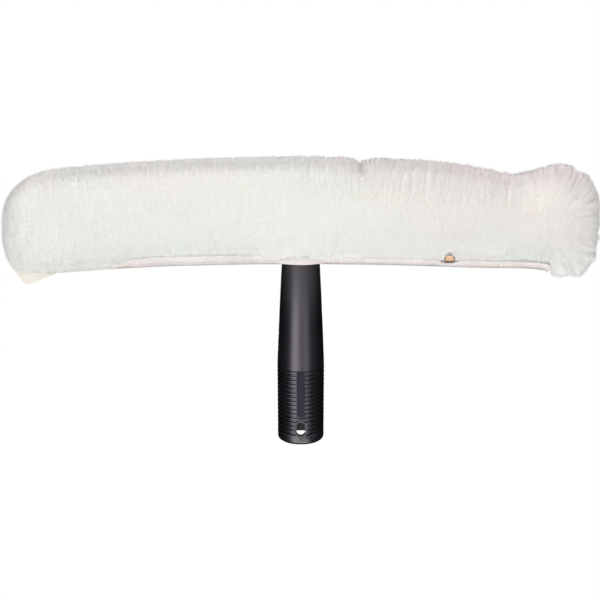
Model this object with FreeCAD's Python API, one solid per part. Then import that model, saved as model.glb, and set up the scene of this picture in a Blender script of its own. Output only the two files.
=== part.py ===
import FreeCAD
import Part
import math
import os

Vector = FreeCAD.Vector

# Window scrubber: a hollow ribbed handle whose slotted neck straddles an arched crossbar, and a
# plush sleeve drawn over the bar. The left half of the sleeve is sewn shut along its lower edge.
# The right half is slit there, and a flap laps over a lip and is held by one snap fastener.
#
# Frame: millimetres, +Z up the handle, +X along the bar, the front face looks along -Y.
# The origin is the centre of the open end of the handle, where a pole goes in.

# Handle, from the open end up
handle_reach = 161.0
end_radius = 18.1
end_round = 3.0
grip_radius = 18.35
grip_height = 61.5
swell_height = 104.0
swell_radius = 16.6
neck_radius = 13.7
fork_height = 44.0
fork_round = 5.0
round_flats = 36
corner_turns = (0, 45, 90)
taper_steps = 7

# Ribs of the grip, and the plain panels left between them front and back
rib_start = 9.0
rib_pitch = 3.47
groove_depth = 0.9
groove_floor = 0.8
groove_wall = 0.8
panel_root = 1.7
panel_width = 6.0
panel_low = 24.0
panel_proud = 0.15

# Socket for an extension pole and the slot to hang the tool by
socket_radius = 15.1
socket_straight = 45.0
socket_ledge = 0.6
socket_depth = 112.0
socket_tip_radius = 11.5
slot_width = 6.6
slot_height = 11.0
slot_middle = 13.7
slot_land = 1.7
slot_flats = 10

# Crossbar
bar_length = 412.0
bar_height = 48.0
bar_thickness = 12.0
bow_radius = 1850.0
rim_width = 4.0
web_thickness = 3.6
hub_length = 46.0
pocket_count = 5
pocket_rib = 3.5
window_inset = 6.0

# Rivets through the fork and the bar
rivet_radius = 2.5
rivet_spread = 24.0
rivet_head_radius = 4.5
rivet_head_height = 2.0
rivet_crown_share = 0.6
rivet_tail_radius = 3.4
rivet_tail_height = 1.2
rivet_flats = 24
washer_radius = 4.6
washer_thickness = 0.9
spot_depth = 1.6
spot_margin = 0.6

# Sleeve, the plush cover
sleeve_length = 457.0
pile_above = 41.5
pile_below = 41.5
sleeve_half_thickness = 22.0
sleeve_end_round_share = 0.76
sleeve_end_steps = 7
sleeve_side_steps = 6
hem_radius = 3000.0
left_round = 46.0
left_round_power = 2.7
end_seam_station = 166.0

# The sleeve to the right of the handle, where the end is gathered into a bulge behind a waist and
# hangs in two lobes below the hem. Each row holds a share of half the sleeve's length, then shares
# of its reach above the bar, its reach below the bar and its thickness there
right_end_shares = (
    (0.330, 0.985, 1.000, 1.000),
    (0.465, 0.968, 1.000, 0.985),
    (0.595, 0.920, 1.000, 0.960),
    (0.663, 0.880, 0.995, 0.930),
    (0.720, 0.865, 0.985, 0.910),
    (0.765, 0.930, 0.985, 0.960),
    (0.815, 1.035, 1.000, 1.040),
    (0.850, 1.100, 1.130, 1.080),
    (0.880, 1.110, 1.210, 1.100),
    (0.910, 1.070, 1.120, 1.090),
    (0.935, 1.020, 1.150, 1.050),
    (0.960, 0.930, 1.020, 0.960),
    (0.985, 0.700, 0.680, 0.700),
    (1.000, 0.280, 0.260, 0.320),
)
# Shares of the rounding at the closed left end, from the tip inwards, and of the length beside it
left_step_shares = (1.0, 0.975, 0.90, 0.77, 0.55, 0.15)
left_middle_shares = (0.40,)

# Ear at the lower corner of the left end, where two seams meet, set in from the sleeve's end
ear_outer_inset = 10.5
ear_tip_inset = 19.5
ear_inner_inset = 38.5
ear_drop = 5.4
ear_tip_width = 5.0
ear_seat = 9.0
ear_front = 8.0
ear_back = 1.0

# Closing flap, the lip that it laps over and the snap between them
flap_start = 26.0
flap_end = 158.0
flap_hinge_rise = -14.0
flap_edge_across = -1.0
lip_slant = 41.0
lip_slant_near = 13.0
lip_slant_far = 23.5
lip_back = 8.0
lip_floor = 33.0
snap_station = 115.0

# Snap fastener
cap_radius = 4.8
cap_rim = 0.7
cap_crown = 1.1
cap_crown_radius = 3.0
barrel_radius = 1.2
socket_ring_radius = 4.6
socket_ring_bore = 2.6
socket_ring_height = 2.4
socket_ring_web = 0.6
stud_flange_radius = 4.3
stud_flange_thickness = 0.8
stud_neck_radius = 1.5
stud_head_radius = 1.9
stud_height = 2.3
post_radius = 3.6
post_thickness = 0.8
cap_sink = 0.4
snap_flats = 24

# Binding tape along the lower edges and round the handle
tape_front = 8.0
tape_drop = 1.0
tape_rise = 4.2
tape_left_inset = 30.5
tape_margin = 1.2
neck_tape_width = 3.4
neck_tape_low = 1.2
neck_tape_high = 3.6

# Clearances
fork_clearance = 0.2
seat_clearance = 0.1
rivet_clearance = 0.1
liner_clearance = 0.4
neck_clearance = 0.5
flap_gap = 0.4
overrun = 60.0
turning_tolerance = 0.000001

head_height = handle_reach + bar_height / 2
hem_height = head_height - pile_below
bar_half = bar_length / 2
sleeve_half = sleeve_length / 2
hinge_across = -sleeve_half_thickness - flap_gap
ear_outer_station = sleeve_half - ear_outer_inset
ear_tip_station = sleeve_half - ear_tip_inset
ear_inner_station = sleeve_half - ear_inner_inset
tape_left_end = sleeve_half - tape_left_inset


# Places along the bowed bar and along the hem

def bow_sag(station):
    return station ** 2 / (2 * bow_radius)


def hem_sag(station):
    return station ** 2 / (2 * hem_radius)


def on_arc(station, across, rise, radius, height):
    """A point beside an arc in the XZ plane, by its length from the handle and its rise above the arc."""
    angle = station / radius
    reach = radius + rise
    return Vector(reach * math.sin(angle), across, height - radius + reach * math.cos(angle))


def on_bow(station, across, rise):
    return on_arc(station, across, rise, bow_radius, head_height)


def on_hem(station, across, rise):
    return on_arc(station, across, rise, hem_radius, hem_height)


def hem_station(station):
    """The place on the hem below a place on the bar."""
    return on_bow(station, 0, -pile_below).x


def closed_face(points):
    return Part.Face(Part.makePolygon(points + [points[0]]))


def arc_strip(outline, start, end, radius, height):
    """A bar of constant section along an arc. The outline is a list of (across, rise) pairs."""
    face = closed_face([on_arc(start, across, rise, radius, height) for across, rise in outline])
    turn = math.degrees((end - start) / radius)
    return face.revolve(Vector(0, 0, height - radius), Vector(0, 1, 0), turn)


def bow_strip(outline, start, end):
    return arc_strip(outline, start, end, bow_radius, head_height)


def hem_strip(outline, start, end):
    return arc_strip(outline, start, end, hem_radius, hem_height)


def rectangle(across_low, across_high, rise_low, rise_high):
    return [(across_low, rise_low), (across_high, rise_low),
            (across_high, rise_high), (across_low, rise_high)]


def across_cylinder(station, rise, radius, across_low, across_high):
    """A cylinder along Y at a place on the bar."""
    start = on_bow(station, across_low, rise)
    return Part.makeCylinder(radius, across_high - across_low, start, Vector(0, 1, 0))


def one_solid(shape):
    """The largest solid of a result, with its split faces joined again."""
    solid = max(shape.Solids, key=lambda piece: piece.Volume)
    return solid.removeSplitter()


# Round pieces, turned in flats like a cut gem

def turned_in_flats(outline, flats):
    """A solid of revolution about Z. The outline is a closed list of (radius, height) pairs."""
    turn = 2 * math.pi / flats
    faces = []
    for number in range(flats):
        here, there = [
            [Vector(radius * math.cos(angle), radius * math.sin(angle), height) for radius, height in outline]
            for angle in (number * turn, (number + 1) * turn)
        ]
        for low, high in zip(range(len(outline)), [*range(1, len(outline)), 0]):
            corners = [here[low], there[low], there[high], here[high]]
            corners = [point for point, before in zip(corners, [corners[-1]] + corners)
                       if not point.isEqual(before, turning_tolerance)]
            if len(corners) > 2:
                faces.append(closed_face(corners))
    solid = Part.Solid(Part.makeShell(faces))
    if solid.Volume < 0:
        solid.reverse()
    return solid


def disc_outline(radius, low, high):
    return [(0, low), (radius, low), (radius, high), (0, high)]


def ring_outline(inner, outer, low, high):
    return [(inner, low), (outer, low), (outer, high), (inner, high)]


def placed_along(solid, start, direction):
    """A turned solid with its axis moved to a line."""
    solid.Placement = FreeCAD.Placement(start, FreeCAD.Rotation(Vector(0, 0, 1), direction))
    return solid


# Handle

def taper_points():
    """The taper as points on the arc through the grip, the swell and the neck."""
    arc = Part.Arc(Vector(grip_radius, 0, grip_height), Vector(swell_radius, 0, swell_height),
                   Vector(neck_radius, 0, handle_reach))
    return [(point.x, point.z) for point in arc.discretize(Number=taper_steps)]


def handle_radius_at(height):
    """Radius of the taper at a height between the grip and the neck."""
    points = taper_points()
    for (low_radius, low), (high_radius, high) in zip(points, points[1:]):
        if low <= height <= high:
            return low_radius + (high_radius - low_radius) * (height - low) / (high - low)
    return neck_radius


def grip_radius_at(height):
    share = (height - end_round) / (grip_height - end_round)
    return end_radius + (grip_radius - end_radius) * share


def rounded_corner(radius, height, size, way):
    """A corner eased by flats in a turned outline that rises. The way is 1 at a foot and -1 at a top."""
    points = []
    for turn in corner_turns:
        out = radius - size + size * math.sin(math.radians(turn))
        points.append((out, height + way * size * (1 - math.cos(math.radians(turn)))))
    return points[::way]


def rib_points():
    """Grooves with flat floors and sloping walls, one for each pitch, that leave the ribs between them."""
    points = []
    for number in range(int((grip_height - rib_start) / rib_pitch)):
        middle = rib_start + number * rib_pitch
        for way in (-1, 1):
            corner = [(grip_radius_at(middle), middle + way * (groove_floor / 2 + groove_wall)),
                      (grip_radius_at(middle) - groove_depth, middle + way * groove_floor / 2)]
            points += corner[::-way]
    return points


def handle_blank():
    """The outside of the handle, from the open end to the tip of the fork."""
    fork_top = handle_reach + fork_height
    outline = [(0, 0)] + rounded_corner(end_radius, 0, end_round, 1)
    outline += rib_points() + taper_points()
    outline += rounded_corner(neck_radius, fork_top, fork_round, -1) + [(0, fork_top)]
    return turned_in_flats(outline, round_flats)


def pole_socket():
    """A straight mouth up to a ledge, then a taper that wedges on the cone of a pole."""
    straight = Part.makeCylinder(socket_radius, socket_straight + overrun, Vector(0, 0, -overrun))
    taper = [(0, 0), (socket_radius - socket_ledge, 0), (socket_radius - socket_ledge, socket_straight),
             (socket_tip_radius, socket_depth), (0, socket_depth)]
    return straight.fuse(turned_in_flats(taper, round_flats))


def slot_prism(margin):
    """The hanging slot as a bar along Y with round ends, grown by a margin."""
    radius = slot_width / 2 + margin
    half_run = (slot_height - slot_width) / 2
    points = []
    for way in (1, -1):
        for number in range(slot_flats + 1):
            angle = math.pi * number / slot_flats
            points.append(Vector(way * radius * math.cos(angle), -overrun,
                                 slot_middle + way * (half_run + radius * math.sin(angle))))
    return closed_face(points).extrude(Vector(0, 2 * overrun, 0))


def grip_skin():
    """A sleeve over the ribs, from below the floors of the grooves to just proud of the grip."""
    low_radius = end_radius + panel_proud
    high_radius = grip_radius + panel_proud
    outer = Part.makeCone(low_radius, high_radius, grip_height - end_round, Vector(0, 0, end_round))
    return outer.cut(Part.makeCylinder(end_radius - panel_root, grip_height))


def make_handle():
    strip = Part.makeBox(panel_width, 2 * overrun, grip_height - panel_low,
                         Vector(-panel_width / 2, -overrun, panel_low))
    plain = grip_skin().common(strip.fuse(slot_prism(slot_land)))
    body = handle_blank().fuse(plain)
    half_room = bar_thickness / 2 + fork_clearance
    room_outline = rectangle(-half_room, half_room, -bar_height / 2 - seat_clearance,
                             bar_height + fork_height)
    bar_room = bow_strip(room_outline, -overrun, overrun)
    for room in [pole_socket(), slot_prism(0), bar_room] + rivet_spots() + rivet_holes():
        body = body.cut(room)
    return one_solid(body)


# Rivets and washers that hold the fork to the bar

def spot_face():
    """Distance of the flats under the heads and washers from the middle of the bar."""
    return neck_radius - spot_depth


def at_rivets(outline):
    """A turned piece along Y at the place of each rivet."""
    return [placed_along(turned_in_flats(outline, rivet_flats), on_bow(0, 0, rise), Vector(0, 1, 0))
            for rise in (-rivet_spread / 2, rivet_spread / 2)]


def rivet_holes():
    return at_rivets(disc_outline(rivet_radius + rivet_clearance, -overrun, overrun))


def rivet_spots():
    radius = max(rivet_head_radius, washer_radius) + spot_margin
    front = at_rivets(disc_outline(radius, -overrun, -spot_face()))
    return front + at_rivets(disc_outline(radius, spot_face(), overrun))


def make_rivets():
    front = -spot_face()
    crown = rivet_crown_share
    back = spot_face() + washer_thickness
    tip = back + rivet_tail_height
    outline = [
        (0, front - rivet_head_height), (rivet_head_radius * crown, front - rivet_head_height),
        (rivet_head_radius, front - rivet_head_height * (1 - crown)), (rivet_head_radius, front),
        (rivet_radius, front), (rivet_radius, back), (rivet_tail_radius, back),
        (rivet_tail_radius, back + rivet_tail_height * (1 - crown)), (rivet_tail_radius * crown, tip),
        (0, tip),
    ]
    return Part.makeCompound(at_rivets(outline))


def make_washers():
    outline = ring_outline(rivet_radius + rivet_clearance, washer_radius, spot_face(),
                           spot_face() + washer_thickness)
    return Part.makeCompound(at_rivets(outline))


# Crossbar

def bar_envelope(margin):
    """The bowed bar with its half round ends, grown by a margin."""
    half_height = bar_height / 2
    turn_station = bar_half - half_height
    half_thick = bar_thickness / 2 + margin
    reach = half_height + margin
    body = bow_strip(rectangle(-half_thick, half_thick, -reach, reach), -turn_station, turn_station)
    ends = [across_cylinder(side * turn_station, 0, reach, -half_thick, half_thick) for side in (-1, 1)]
    return body.fuse(ends)


def pocket_edges():
    """Start and end stations of each pocket of the right arm."""
    first = hub_length / 2
    last = bar_half - bar_height / 2
    length = (last - first - pocket_rib * (pocket_count - 1)) / pocket_count
    return [(first + number * (length + pocket_rib), first + number * (length + pocket_rib) + length)
            for number in range(pocket_count)]


def make_crossbar():
    half_rise = bar_height / 2 - rim_width
    outside = bar_thickness / 2 + overrun
    cuts = []
    for low, high in pocket_edges():
        for side in (-1, 1):
            start, end = sorted((side * low, side * high))
            window_rise = half_rise - window_inset
            cuts.append(bow_strip(rectangle(web_thickness / 2, outside, -half_rise, half_rise), start, end))
            cuts.append(bow_strip(rectangle(-outside, -web_thickness / 2, -half_rise, half_rise), start, end))
            cuts.append(bow_strip(rectangle(-outside, outside, -window_rise, window_rise),
                                  start + window_inset, end - window_inset))
    return one_solid(bar_envelope(0).cut(cuts + rivet_holes()))


# Sleeve outline

def oval_wire(station, above, below, half_thickness):
    """A section of the sleeve square to the bar: two end arcs joined by two flatter side arcs, in flats."""
    middle = (above - below) / 2
    half_height = (above + below) / 2
    end_arc = half_thickness * sleeve_end_round_share
    run = half_height - end_arc
    side_arc = (run ** 2 + half_thickness ** 2 - end_arc ** 2) / (2 * (half_thickness - end_arc))
    side_centre = side_arc - half_thickness
    lean = end_arc / math.hypot(side_centre, run)
    across = lean * side_centre
    rise = run + lean * run

    def at(out, up):
        return on_bow(station, out, middle + up)
    arcs = [
        (Part.Arc(at(-across, rise), at(0, half_height), at(across, rise)), sleeve_end_steps),
        (Part.Arc(at(across, rise), at(half_thickness, 0), at(across, -rise)), sleeve_side_steps),
        (Part.Arc(at(across, -rise), at(0, -half_height), at(-across, -rise)), sleeve_end_steps),
        (Part.Arc(at(-across, -rise), at(-half_thickness, 0), at(-across, rise)), sleeve_side_steps),
    ]
    points = []
    for arc, steps in arcs:
        points += arc.discretize(Number=steps)[:-1]
    return Part.makePolygon(points + [points[0]])


def hem_reach(station):
    """Reach of the pile below the bowed bar, so that the lower edge follows the flatter hem."""
    return pile_below - bow_sag(station) + hem_sag(station)


def sleeve_section(station, above_share, below_share, thickness_share):
    return (station, pile_above * above_share, hem_reach(station) * below_share,
            sleeve_half_thickness * thickness_share)


def sleeve_sections():
    """Stations along the bar with the reach above, the reach below and half the thickness at each."""
    sections = []
    tip_share = 1 - left_step_shares[1]
    for step in left_step_shares:
        swell = max(1 - step ** left_round_power, tip_share) ** (1 / left_round_power)
        sections.append(sleeve_section(-sleeve_half + left_round * (1 - step), swell, swell, swell))
    for share in left_middle_shares:
        sections.append(sleeve_section(-share * sleeve_half, 1, 1, 1))
    sections.append(sleeve_section(0, 1, 1, 1))
    for along, above, below, thick in right_end_shares:
        sections.append(sleeve_section(along * sleeve_half, above, below, thick))
    return sections


def sleeve_outside():
    wires = [oval_wire(*section) for section in sleeve_sections()]
    return Part.makeLoft(wires, True, True)


def sleeve_room():
    """The space inside the sleeve: bar, fork, rivets and the handle's neck, each with its clearance."""
    fork = disc_outline(neck_radius + liner_clearance, handle_reach - bar_height / 2,
                        handle_reach + fork_height + liner_clearance)
    neck = disc_outline(neck_hole_radius(), hem_height - overrun, handle_reach)
    head_reach = spot_face() + liner_clearance
    head_reach += max(rivet_head_height, washer_thickness + rivet_tail_height)
    heads = at_rivets(disc_outline(washer_radius + liner_clearance, -head_reach, head_reach))
    round_rooms = [turned_in_flats(outline, round_flats) for outline in (fork, neck)]
    return bar_envelope(liner_clearance).fuse(round_rooms + heads)


def neck_hole_radius():
    return handle_radius_at(hem_height) + neck_clearance


def beyond_seam(station):
    """Everything to the right of a plane square to the bar."""
    side = 2 * overrun
    return bow_strip(rectangle(-side, side, -side, side), station, station + 2 * side)


# Closing flap and lip

def lip_outline(gap):
    """Across and rise of the lip's outer face, moved out by a gap, from the hinge line down and under
    the bar. The slanted stretch carries the snap and points at the hinge, so the snap parts along
    its axis."""
    turn = math.radians(lip_slant)

    def on_slant(distance):
        across = hinge_across + distance * math.sin(turn) - gap * math.cos(turn)
        return across, flap_hinge_rise - distance * math.cos(turn) - gap * math.sin(turn)
    front = hinge_across + lip_slant_near * math.sin(turn) - gap
    near = on_slant((front - hinge_across + gap * math.cos(turn)) / math.sin(turn))
    return [(front, flap_hinge_rise), near, on_slant(lip_slant_far), (lip_back, -lip_floor - gap)]


def make_lip(snap_cuts):
    inner_across = -bar_thickness / 2 - liner_clearance
    inner_rise = -bar_height / 2 - liner_clearance
    inner = [(lip_back, inner_rise), (inner_across, inner_rise), (inner_across, flap_hinge_rise)]
    lip = bow_strip(lip_outline(0) + inner, flap_start, flap_end)
    return one_solid(lip.cut(snap_cuts))


def flap_room(gap):
    """The space that the flap fills outside the lip, less a gap all round."""
    top = flap_hinge_rise - gap
    outline = lip_outline(gap)
    outline[0] = (outline[0][0], top)
    edge = flap_edge_across
    near_floor = outline[2]
    back = outline[3]
    share = (edge - near_floor[0]) / (back[0] - near_floor[0])
    edge_rise = near_floor[1] + share * (back[1] - near_floor[1])
    far = -2 * overrun
    outline = outline[:3] + [(edge, edge_rise), (edge, far), (far, far), (far, top)]
    return bow_strip(outline, flap_start + gap, flap_end - gap)


def slit_room():
    """What is taken out of the sleeve for the flap, the lip and the slit beside them."""
    outline = [(-2 * overrun, flap_hinge_rise), (0, flap_hinge_rise), (0, -bar_height / 2),
               (lip_back, -bar_height / 2), (lip_back, -2 * overrun), (-2 * overrun, -2 * overrun)]
    return bow_strip(outline, flap_start, flap_end)


# Snap fastener on the slanted face of the lip

def snap_direction():
    turn = math.radians(lip_slant)
    angle = snap_station / bow_radius
    rise = -math.sin(turn)
    return Vector(rise * math.sin(angle), -math.cos(turn), rise * math.cos(angle))


def snap_place(distance):
    """A point on the snap's axis, by its distance outside the lip's slanted face."""
    turn = math.radians(lip_slant)
    middle = (lip_slant_near + lip_slant_far) / 2
    across = hinge_across + middle * math.sin(turn)
    rise = flap_hinge_rise - middle * math.cos(turn)
    return on_bow(snap_station, across, rise) + snap_direction() * distance


def snap_turned(outline):
    return placed_along(turned_in_flats(outline, snap_flats), snap_place(0), snap_direction())


def snap_disc(radius, low, high):
    return snap_turned(disc_outline(radius, low, high))


def cap_seat(outside):
    """Distance from the lip's face to the pile's surface along the snap's axis, less the cap's sink."""
    axis = Part.makeLine(snap_place(0), snap_place(overrun))
    inside = axis.common(outside)
    return inside.Length - cap_sink


def socket_web():
    return flap_gap + socket_ring_height


def make_cap(seat):
    """A round cap with a sloping crown, and the barrel that joins it to the socket through the cloth."""
    foot = socket_web() + socket_ring_web
    rim = seat + cap_rim
    return snap_turned([(0, foot), (barrel_radius, foot), (barrel_radius, seat), (cap_radius, seat),
                        (cap_radius, rim), (cap_crown_radius, rim + cap_crown), (0, rim + cap_crown)])


def make_socket():
    """A ring round the stud, closed on the side of the cap."""
    top = socket_web() + socket_ring_web
    return snap_turned([(socket_ring_bore, flap_gap), (socket_ring_radius, flap_gap),
                        (socket_ring_radius, top), (0, top),
                        (0, socket_web()), (socket_ring_bore, socket_web())])


def make_stud():
    """A flange let into the lip, with a neck and a wider head that the socket grips."""
    return snap_turned([(0, -stud_flange_thickness), (stud_flange_radius, -stud_flange_thickness),
                        (stud_flange_radius, 0), (stud_neck_radius, 0),
                        (stud_neck_radius, stud_height / 2), (stud_head_radius, stud_height / 2),
                        (stud_head_radius, stud_height), (0, stud_height)])


def lip_depth():
    """Depth of the lip below its slanted face, down to the corner of the bar's room."""
    corner = on_bow(snap_station, -bar_thickness / 2 - liner_clearance, -bar_height / 2 - liner_clearance)
    return (snap_place(0) - corner).dot(snap_direction())


def make_post():
    """A disc inside the lip and the barrel that joins it to the stud."""
    depth = lip_depth()
    web = post_thickness - depth
    return snap_turned([(0, -depth), (post_radius, -depth), (post_radius, web), (barrel_radius, web),
                        (barrel_radius, -stud_flange_thickness), (0, -stud_flange_thickness)])


def flap_snap_cuts(seat):
    return [snap_disc(cap_radius, seat, overrun), snap_disc(barrel_radius, 0, seat),
            snap_disc(socket_ring_radius, 0, socket_web() + socket_ring_web)]


def lip_snap_cuts():
    depth = lip_depth()
    return [snap_disc(stud_flange_radius, -stud_flange_thickness, overrun),
            snap_disc(barrel_radius, -depth, 0),
            snap_disc(post_radius, -depth - post_thickness, post_thickness - depth)]


# Binding tapes and ear

def hem_tape(start, end):
    return hem_strip(rectangle(-tape_front, flap_edge_across, -tape_drop, tape_rise), start, end)


def make_neck_tape():
    inner = neck_hole_radius()
    outline = ring_outline(inner, inner + neck_tape_width, hem_height - neck_tape_low,
                           hem_height + neck_tape_high)
    return turned_in_flats(outline, round_flats)


def make_ear():
    """A flat corner of doubled cloth that hangs below the hem at the left end."""
    outline = [(-ear_outer_station, ear_seat), (-ear_tip_station - ear_tip_width / 2, -ear_drop),
               (-ear_tip_station + ear_tip_width / 2, -ear_drop), (-ear_inner_station, 0),
               (-ear_inner_station, ear_seat)]
    face = closed_face([on_hem(station, -ear_front, rise) for station, rise in outline])
    return face.extrude(Vector(0, ear_front - ear_back, 0))


# Build and write every piece

def build():
    outside = sleeve_outside()
    room = sleeve_room()
    seat = cap_seat(outside)
    neck_tape = make_neck_tape()
    ear = make_ear()
    left_tape = hem_tape(-tape_left_end, -neck_hole_radius() - neck_tape_width - tape_margin)
    left_tape = one_solid(left_tape.cut(ear))
    flap_tape = hem_tape(hem_station(flap_start + tape_margin), hem_station(flap_end - tape_margin))
    flap = outside.common(flap_room(flap_gap)).cut([flap_tape] + flap_snap_cuts(seat))
    end_side = beyond_seam(end_seam_station)
    sleeve = outside.cut([room, end_side, slit_room(), neck_tape, ear, left_tape])
    end_panel = outside.common(end_side).cut(room)
    return {
        "handle": make_handle(),
        "crossbar": make_crossbar(),
        "fork_rivets": make_rivets(),
        "rivet_washers": make_washers(),
        "pile_sleeve": one_solid(sleeve),
        "end_panel": one_solid(end_panel),
        "corner_ear": ear,
        "left_seam_tape": left_tape,
        "neck_tape": neck_tape,
        "stud_lip": make_lip(lip_snap_cuts()),
        "snap_stud": make_stud(),
        "snap_post": make_post(),
        "closing_flap": one_solid(flap),
        "flap_tape": flap_tape,
        "snap_cap": make_cap(seat),
        "snap_socket": make_socket(),
    }


def main():
    os.makedirs("parts", exist_ok=True)
    for name, shape in build().items():
        shape.exportStep(os.path.join("parts", name + ".step"))
        solids = len(shape.Solids)
        print(f"{name}: {solids} solid, {shape.Volume / 1000:.2f} cm3, valid {shape.isValid()}")
    angle = (flap_start + flap_end) / 2 / bow_radius
    hinge = on_bow((flap_start + flap_end) / 2, hinge_across, flap_hinge_rise)
    print("flap hinge", hinge, "axis", math.cos(angle), 0, -math.sin(angle))


main()
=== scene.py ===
import math

import bpy
import numpy as np
from mathutils import Matrix, Vector


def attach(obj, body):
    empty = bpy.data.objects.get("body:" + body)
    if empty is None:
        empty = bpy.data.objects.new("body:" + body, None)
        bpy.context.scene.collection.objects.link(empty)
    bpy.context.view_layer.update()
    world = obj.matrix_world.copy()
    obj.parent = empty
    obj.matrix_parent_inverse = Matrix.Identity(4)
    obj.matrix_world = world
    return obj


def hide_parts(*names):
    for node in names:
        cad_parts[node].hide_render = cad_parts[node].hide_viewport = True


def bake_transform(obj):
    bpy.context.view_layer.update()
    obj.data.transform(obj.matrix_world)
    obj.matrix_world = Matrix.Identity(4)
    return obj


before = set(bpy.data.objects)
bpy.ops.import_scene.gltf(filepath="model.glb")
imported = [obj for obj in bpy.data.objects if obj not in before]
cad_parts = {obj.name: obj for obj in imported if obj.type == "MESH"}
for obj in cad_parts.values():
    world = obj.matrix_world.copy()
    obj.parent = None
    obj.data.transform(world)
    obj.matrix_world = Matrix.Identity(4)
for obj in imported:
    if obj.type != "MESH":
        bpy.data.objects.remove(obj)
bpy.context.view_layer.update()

# Studio: the tool hangs clear of a white sweep, seen from in front and a little above. Low panels round
# the camera give the handle its upright highlights and light the plush evenly, and softer ones above
# and a bounce card below fill it. The back has a narrow low light of its own.
camera_distance = 1.25
camera_height_angle = math.radians(16.5)
camera_aim = Vector((-0.0006, 0, 0.1137))
frame_pixels, focal_pixels, sensor_width = 600, 1614, 36
sweep_size, sweep_height = 60, -1.2
light_aim = Vector((0, 0, 0.15))

bpy.ops.object.select_all(action="DESELECT")
bpy.ops.object.camera_add(location=camera_aim + Vector((
    0, -camera_distance * math.cos(camera_height_angle), camera_distance * math.sin(camera_height_angle))))
camera = bpy.context.object
camera.name = "photo_camera"
camera.rotation_euler = (math.pi / 2 - camera_height_angle, 0, 0)
camera.data.sensor_width = sensor_width
camera.data.lens = sensor_width * focal_pixels / frame_pixels
camera.data.clip_end = 100
bpy.context.scene.camera = camera
bpy.context.scene.view_settings.view_transform = "Standard"


def plug(tree, node, inputs=None, links=None):
    """Sets a node's socket values and the outputs that feed its sockets."""
    for key, value in (inputs or {}).items():
        node.inputs[key].default_value = value
    for key, source in (links or {}).items():
        tree.links.new(source, node.inputs[key])
    return node


def add_node(tree, kind, settings=None, inputs=None, links=None):
    """Adds a node with its settings, socket values and links."""
    node = tree.nodes.new(kind)
    for key, value in (settings or {}).items():
        setattr(node, key, value)
    return plug(tree, node, inputs, links)


def hex_colour(text):
    """A colour given as sRGB hex, turned to linear with full alpha."""
    parts = [int(text[i:i + 2], 16) / 255 for i in (1, 3, 5)]
    return [c / 12.92 if c <= 0.04045 else ((c + 0.055) / 1.055) ** 2.4 for c in parts] + [1]


# Paper sweep: lit to an even white, so that it shows no shadow or horizon.
sweep = bpy.data.materials.new("white_paper_sweep")
sweep.use_nodes = True
sweep.node_tree.nodes.clear()
glow = add_node(sweep.node_tree, "ShaderNodeEmission", inputs={"Color": hex_colour("#FFFFFF"), "Strength": 1.0})
add_node(sweep.node_tree, "ShaderNodeOutputMaterial", links={"Surface": glow.outputs[0]})
bpy.ops.mesh.primitive_plane_add(size=sweep_size, location=(0, 0, sweep_height))
floor = bpy.context.object
floor.name = "floor"
floor.data.materials.append(sweep)
for ray in ("visible_diffuse", "visible_glossy", "visible_transmission", "visible_shadow"):
    setattr(floor, ray, False)

world = bpy.data.worlds.new("white_studio")
bpy.context.scene.world = world
world.use_nodes = True
world.node_tree.nodes["Background"].inputs["Color"].default_value = hex_colour("#FFFFFF")
for ray in ("diffuse", "glossy", "transmission"):
    setattr(world.cycles_visibility, ray, False)

lights = {
    "left_panel": ((-0.94, -1.77, -0.4), (1.3, 1.2), 24),
    "right_panel": ((0.88, -1.8, -0.4), (0.9, 1.2), 7),
    "centre_panel": ((0.08, -1.8, -0.08), (0.64, 0.46), 2.4),
    "front_light": ((0.0, -1.9, 1.35), (2.2, 1.0), 10),
    "top_light": ((0.0, -0.45, 1.95), (2.4, 1.2), 43),
    "bounce_card": ((0.0, -0.95, -0.85), (1.8, 0.6), 20),
    "left_fill": ((-1.8, -0.9, 0.7), (1.0, 1.0), 8),
    "right_fill": ((1.8, -0.9, 0.7), (1.0, 1.0), 13),
    "back_light": ((0.0, 2.2, -0.45), (0.7, 1.2), 45),
}
for name, (place, size, watts) in lights.items():
    bpy.ops.object.light_add(type="AREA", location=place)
    light = bpy.context.object
    light.name = name
    light.rotation_euler = (light_aim - light.location).to_track_quat("-Z", "Y").to_euler()
    light.data.shape = "RECTANGLE"
    light.data.size, light.data.size_y = size
    light.data.energy = watts
    light.visible_camera = False

# Handle: one hollow moulding of black polypropylene with a satin skin. The grip has fine ribs that
# stop at a plain panel front and back, a slot to hang it by and a bore for a pole, and the neck is
# slotted so that it straddles the crossbar.
MM = 0.001
end_radius, grip_radius, swell_radius, neck_radius = 18.1, 18.35, 16.6, 13.7
grip_height, swell_height, handle_reach, fork_top = 61.5, 104.0, 161.0, 205.0
end_round, fork_round = 3, 5
rib_start, rib_pitch, rib_count, groove_depth = 9.0, 3.47, 15, 1.1
# Places across one rib, as shares of the pitch, each with its share of the groove's depth
rib_profile = ((-0.18, 0.95), (-0.16, 1.0), (0.19, 1.0), (0.22, 0.92),
               (0.38, 0.08), (0.41, 0.0), (0.79, 0.0), (0.805, 0.08))
bore_radius, bore_straight, bore_depth, bore_tip_radius = 15.1, 45.0, 112.0, 11.5
bore_ledge, mouth_bevel = 0.6, 0.5


def mesh_piece(name, points, faces, edges=()):
    """A new object at the origin from points in millimetres."""
    mesh = bpy.data.meshes.new(name)
    mesh.from_pydata([[c * MM for c in p] for p in points], list(edges), faces)
    piece = bpy.data.objects.new(name, mesh)
    bpy.context.scene.collection.objects.link(piece)
    return piece


def only(piece):
    bpy.ops.object.select_all(action="DESELECT")
    piece.select_set(True)
    bpy.context.view_layer.objects.active = piece


def smooth(piece, degrees):
    """Shades a piece smooth where its faces turn by less than an angle."""
    only(piece)
    bpy.ops.object.shade_smooth_by_angle(angle=math.radians(degrees))


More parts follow.
